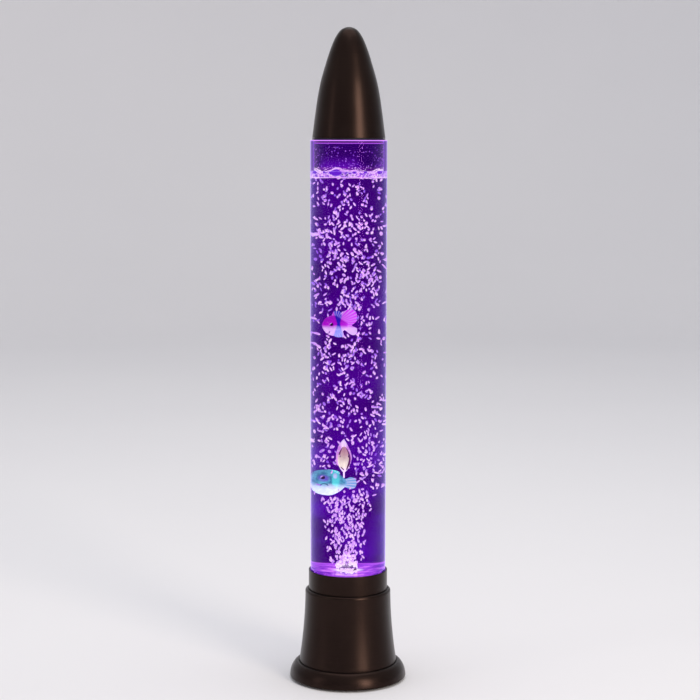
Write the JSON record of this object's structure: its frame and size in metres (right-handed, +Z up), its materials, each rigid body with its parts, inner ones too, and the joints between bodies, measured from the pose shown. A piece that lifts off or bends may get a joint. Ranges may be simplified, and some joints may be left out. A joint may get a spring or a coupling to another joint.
{
  "type": "liquid motion lamp",
  "caption": "Rocket-shaped water lamp: a lit clear tube with rising bubbles and drifting fish, on a flared metal base under a bullet-shaped lift-off cap.",
  "frame": {"origin": "on the table, under the tube's axis", "axes": "+Z up along the tube, -Y to the front of the picture, the controls and the power inlet at +Y"},
  "size_m": [0.1092, 0.1092, 0.604],
  "materials": {
    "gunmetal": "satin, dark warm grey, fine turned grain",
    "clear_acrylic": "clear and polished",
    "bright_metal": "bright",
    "brass": "plain turned",
    "black_plastic": "fine matte",
    "grey_plastic": "fine matte",
    "rubber": "matte",
    "silicone": "cloudy, soft",
    "circuit_board": "lacquered",
    "led": "clear lens over a lit chip",
    "copper": "enamelled wire",
    "magnet": "ground grey",
    "core_steel": "stacked sheets",
    "pink_paint": "painted, glowing in the lamp's light",
    "teal_paint": "painted, glowing in the lamp's light",
    "orange_paint": "painted, glowing in the lamp's light"
  },
  "bodies": {
    "base": {"base_body": "gunmetal", "foot_ring": "gunmetal", "bottom_plate": "black_plastic", "collar": "gunmetal", "tube": "clear_acrylic", "tube_floor": "clear_acrylic", "tube_gasket": "rubber", "light_tray": "grey_plastic", "led_board": "circuit_board", "air_nozzle": "bright_metal", "nozzle_seal": "rubber", "nozzle_nut": "brass", "hose_upper": "silicone", "hose_lower": "silicone", "check_valve": "silicone", "pump_mat": "rubber", "pump_tray": "grey_plastic", "pump_cover": "grey_plastic", "pump_core": "core_steel", "pump_coil": "copper", "valve_box": "black_plastic", "pump_bellows": "rubber", "arm_mount": "grey_plastic", "dc_jack": "black_plastic", "jack_nut": "brass", "button_bezel": "black_plastic", "button_switch": "grey_plastic", "rocker_frame": "black_plastic", "control_board": "circuit_board", "jack_wire": "rubber", "button_wire": "rubber", "rocker_wire": "rubber", "pump_wire": "rubber", "led_wire": "rubber", "cover_screw_1": "bright_metal", "cover_screw_2": "bright_metal", "cover_screw_3": "bright_metal", "cover_screw_4": "bright_metal", "foot_pad_1": "rubber", "foot_pad_2": "rubber", "foot_pad_3": "rubber", "foot_pad_4": "rubber", "tray_screw_1": "bright_metal", "tray_screw_2": "bright_metal", "tray_screw_3": "bright_metal", "led_1": "led", "led_2": "led", "led_3": "led", "led_4": "led", "led_5": "led", "led_6": "led"},
    "cap": {"cap_shell": "gunmetal", "cap_plug": "black_plastic"},
    "rocker": {"power_rocker": "black_plastic"},
    "button": {"colour_button": "grey_plastic"},
    "swing_arm": {"pump_arm": "grey_plastic", "arm_magnet": "magnet"},
    "pink_fish": {"fish_pink": "pink_paint"},
    "teal_fish": {"fish_teal": "teal_paint"},
    "orange_fish": {"fish_orange": "orange_paint"}
  },
  "joints": [
    {"name": "cap_lift", "type": "slide", "parent": "base", "child": "cap", "axis": [0, 0, 1], "range_m": [0, 0.12]},
    {"name": "power_rocker", "type": "hinge", "parent": "base", "child": "rocker", "pos_m": [0, 0.03806, 0.06385], "axis": [1, 0, 0], "range_deg": [0, 18]},
    {"name": "colour_button", "type": "slide", "parent": "base", "child": "button", "axis": [0, -0.9956, -0.0941], "range_m": [0, 0.0008], "stiffness_N_per_m": 250, "springref_m": -0.001},
    {"name": "pump_swing", "type": "hinge", "parent": "base", "child": "swing_arm", "pos_m": [-0.02705, 0, 0.0328], "axis": [0, 1, 0], "range_deg": [-2, 2], "stiffness_Nm_per_rad": 0.5, "deforming": ["pump_bellows"]},
    {"name": "pink_fish_drift", "type": "slide", "parent": "base", "child": "pink_fish", "axis": [0, 0, 1], "range_m": [-0.06, 0.105]},
    {"name": "teal_fish_drift", "type": "slide", "parent": "base", "child": "teal_fish", "axis": [0, 0, 1], "range_m": [-0.05, 0.055]},
    {"name": "orange_fish_drift", "type": "slide", "parent": "base", "child": "orange_fish", "axis": [0, 0, 1], "range_m": [-0.065, 0.028]}
  ]
}
